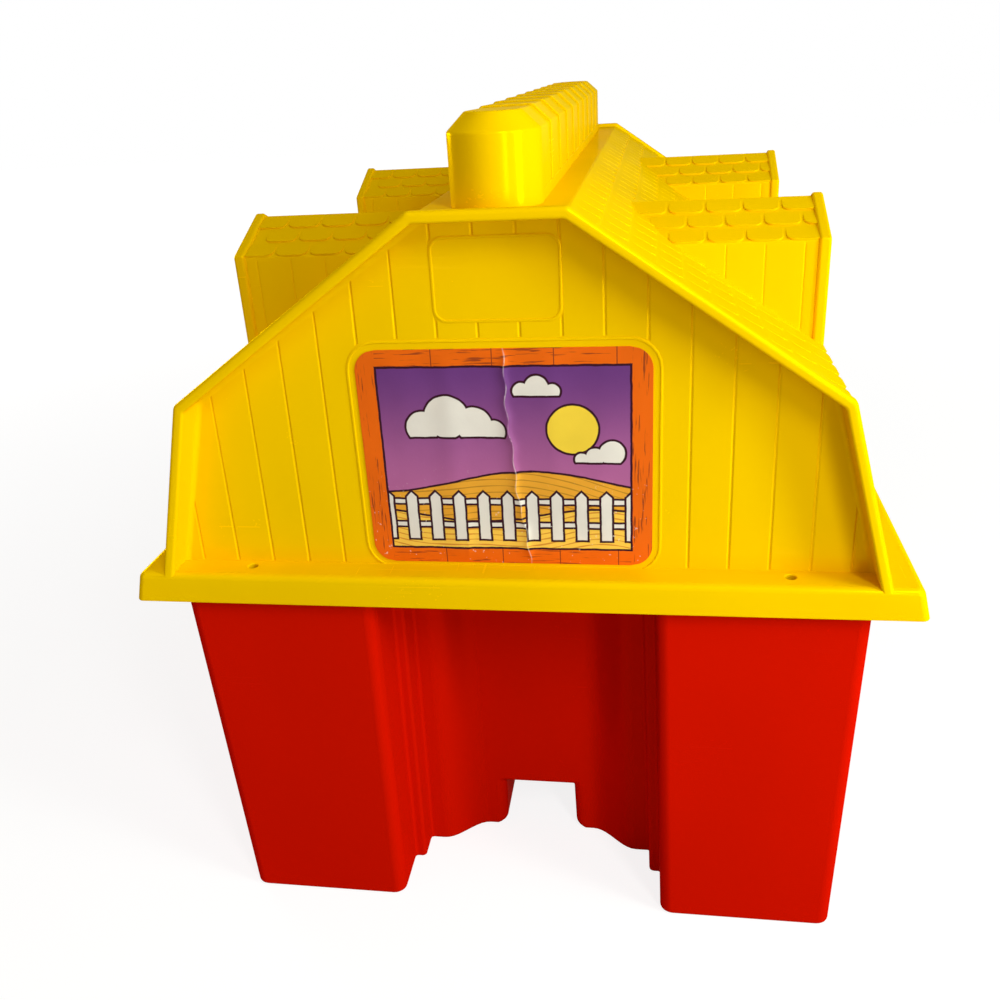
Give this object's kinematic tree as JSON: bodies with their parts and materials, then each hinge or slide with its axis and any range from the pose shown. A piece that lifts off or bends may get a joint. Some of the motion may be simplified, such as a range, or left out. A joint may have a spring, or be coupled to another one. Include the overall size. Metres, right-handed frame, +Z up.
{
  "type": "toy barn storage tub",
  "caption": "Toy barn that stores building blocks: a red tub with hand recesses under a yellow lift-off gambrel roof with dormers and a ribbed cupola.",
  "frame": {"origin": "on the floor under the middle of the tub, the bottom centre of the whole barn's box", "axes": "+X across the gable, +Y along the ridge away from the front gable, +Z up"},
  "size_m": [0.3034, 0.394, 0.3345],
  "materials": {
    "tub_plastic": "red moulded polypropylene, semi gloss",
    "lid_plastic": "yellow moulded polypropylene, semi gloss",
    "label_paper": "printed and creased paper label, satin"
  },
  "bodies": {
    "tub": {"tub": "tub_plastic"},
    "lid": {"lid": "lid_plastic", "front_label": "label_paper", "rear_label": "label_paper"}
  },
  "joints": [
    {"name": "lid_lift", "type": "slide", "parent": "tub", "child": "lid", "axis": [0, 0, 1], "range_m": [0, 0.2]}
  ]
}
